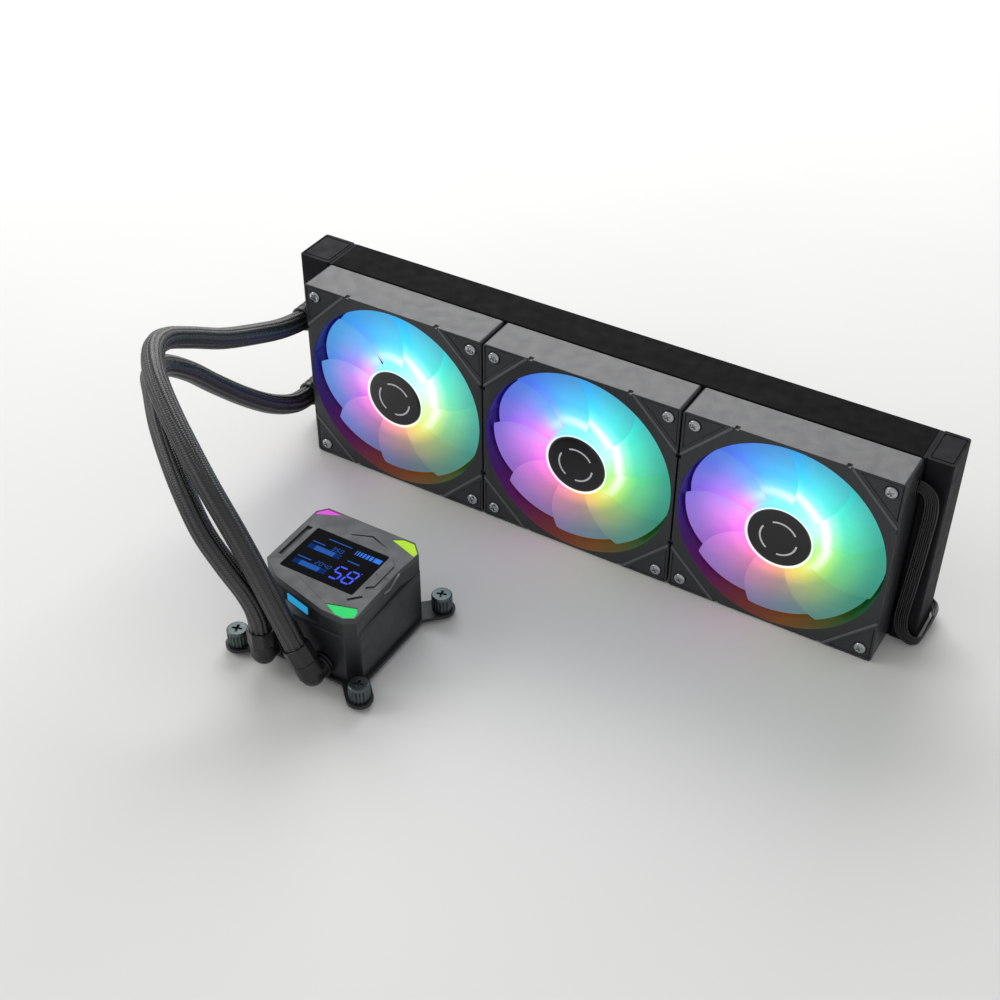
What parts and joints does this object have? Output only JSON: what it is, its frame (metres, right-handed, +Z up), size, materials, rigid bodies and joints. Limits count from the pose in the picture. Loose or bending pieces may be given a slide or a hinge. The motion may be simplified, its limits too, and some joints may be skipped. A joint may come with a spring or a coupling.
{
  "type": "liquid cooler with triple-fan radiator",
  "caption": "Closed-loop liquid cooler: a long finned radiator behind a row of lit fans, two braided hoses, and a square pump block with a small screen.",
  "frame": {"origin": "middle of the radiator's lower face, between the core's two faces and under the middle fan, on the surface that the radiator and the cold plate stand on", "axes": "+X along the radiator, away from the hose ports; +Y out of the radiator's back, away from the fans; +Z up"},
  "size_m": [0.4071, 0.2431, 0.1484],
  "materials": {
    "core_metal": "black coated flat aluminium tube",
    "fin_metal": "thin black coated folded fin",
    "radiator_coat": "black powder coat, fine texture",
    "rail_coat": "black satin coat on folded sheet",
    "port_metal": "turned, grey",
    "braided_sleeve": "black braided nylon sleeve",
    "crimp_sleeve": "black anodised sleeve",
    "elbow_plastic": "black moulded",
    "seal_rubber": "black rubber",
    "fan_frame": "dark grey moulded, satin",
    "corner_rubber": "dark grey damping pad",
    "blade_frosted": "frosted translucent white, lit from inside",
    "hub_face": "black printed disc",
    "yoke_steel": "zinc plated",
    "bearing_brass": "turned brass",
    "winding_copper": "enamelled copper on laminated iron",
    "circuit_board": "green solder mask",
    "screw_steel": "bright nickel",
    "lead_jacket": "black flat lead, seven cores side by side",
    "plug_plastic": "black nylon",
    "plate_copper": "milled copper",
    "housing_plastic": "black glass-filled nylon",
    "impeller_plastic": "white nylon",
    "shaft_ceramic": "polished ceramic",
    "bracket_steel": "black coated sheet steel",
    "nut_metal": "black nickel with a bright top",
    "shell_plastic": "black moulded, satin",
    "screen_tray": "black",
    "screen_face": "dark glass with a blue read-out",
    "cap_finish": "gunmetal grey, satin",
    "light_lens": "frosted coloured lens, lit"
  },
  "bodies": {
    "cooler": {"core_tubes": "core_metal", "core_fins": "fin_metal", "header_plates": "radiator_coat", "flow_baffle": "radiator_coat", "tank_left": "radiator_coat", "tank_right": "radiator_coat", "rail_top": "rail_coat", "rail_bottom": "rail_coat", "port_barbs": "port_metal", "fill_plug": "port_metal", "hose_upper": "braided_sleeve", "hose_lower": "braided_sleeve", "hose_ferrules": "crimp_sleeve", "hose_collars": "crimp_sleeve", "pump_elbows": "elbow_plastic", "elbow_seals": "seal_rubber", "fan_1_frame": "fan_frame", "fan_1_stator": "winding_copper", "fan_1_led_board": "circuit_board", "fan_1_corner_pads": "corner_rubber", "fan_2_frame": "fan_frame", "fan_2_stator": "winding_copper", "fan_2_led_board": "circuit_board", "fan_2_corner_pads": "corner_rubber", "fan_3_frame": "fan_frame", "fan_3_stator": "winding_copper", "fan_3_led_board": "circuit_board", "fan_3_corner_pads": "corner_rubber", "fan_bearings": "bearing_brass", "fan_screws": "screw_steel", "lead_grommet": "seal_rubber", "fan_lead": "lead_jacket", "lead_plug": "plug_plastic", "cold_plate": "plate_copper", "base_gasket": "seal_rubber", "pump_housing": "housing_plastic", "impeller_shaft": "shaft_ceramic", "pump_stator": "winding_copper", "bracket": "bracket_steel", "lower_shell": "shell_plastic", "upper_shell": "shell_plastic", "pump_board": "circuit_board", "screen_module": "screen_tray", "screen_glass": "screen_face", "top_cap": "cap_finish", "corner_lights": "light_lens"},
    "fan_1_spinner": {"fan_1_rotor": "blade_frosted", "fan_1_hub_cap": "hub_face", "fan_1_yoke": "yoke_steel"},
    "fan_2_spinner": {"fan_2_rotor": "blade_frosted", "fan_2_hub_cap": "hub_face", "fan_2_yoke": "yoke_steel"},
    "fan_3_spinner": {"fan_3_rotor": "blade_frosted", "fan_3_hub_cap": "hub_face", "fan_3_yoke": "yoke_steel"},
    "pump_impeller": {"impeller": "impeller_plastic"},
    "mount_nut_front_left": {"nut_front_left": "nut_metal"},
    "mount_nut_front_right": {"nut_front_right": "nut_metal"},
    "mount_nut_back_left": {"nut_back_left": "nut_metal"},
    "mount_nut_back_right": {"nut_back_right": "nut_metal"}
  },
  "joints": [
    {"name": "fan_1_spin", "type": "hinge", "parent": "cooler", "child": "fan_1_spinner", "pos_m": [-0.12, -0.026, 0.06], "axis": [0, -1, 0], "continuous": true},
    {"name": "fan_2_spin", "type": "hinge", "parent": "cooler", "child": "fan_2_spinner", "pos_m": [0, -0.026, 0.06], "axis": [0, -1, 0], "continuous": true},
    {"name": "fan_3_spin", "type": "hinge", "parent": "cooler", "child": "fan_3_spinner", "pos_m": [0.12, -0.026, 0.06], "axis": [0, -1, 0], "continuous": true},
    {"name": "impeller_spin", "type": "hinge", "parent": "cooler", "child": "pump_impeller", "pos_m": [-0.073, -0.1625, 0.012], "axis": [0, 0, 1], "continuous": true},
    {"name": "nut_front_left_turn", "type": "hinge", "parent": "cooler", "child": "mount_nut_front_left", "pos_m": [-0.112, -0.2015, 0.008], "axis": [0, 0, 1], "continuous": true},
    {"name": "nut_front_right_turn", "type": "hinge", "parent": "cooler", "child": "mount_nut_front_right", "pos_m": [-0.034, -0.2015, 0.008], "axis": [0, 0, 1], "continuous": true},
    {"name": "nut_back_left_turn", "type": "hinge", "parent": "cooler", "child": "mount_nut_back_left", "pos_m": [-0.112, -0.1235, 0.008], "axis": [0, 0, 1], "continuous": true},
    {"name": "nut_back_right_turn", "type": "hinge", "parent": "cooler", "child": "mount_nut_back_right", "pos_m": [-0.034, -0.1235, 0.008], "axis": [0, 0, 1], "continuous": true}
  ]
}
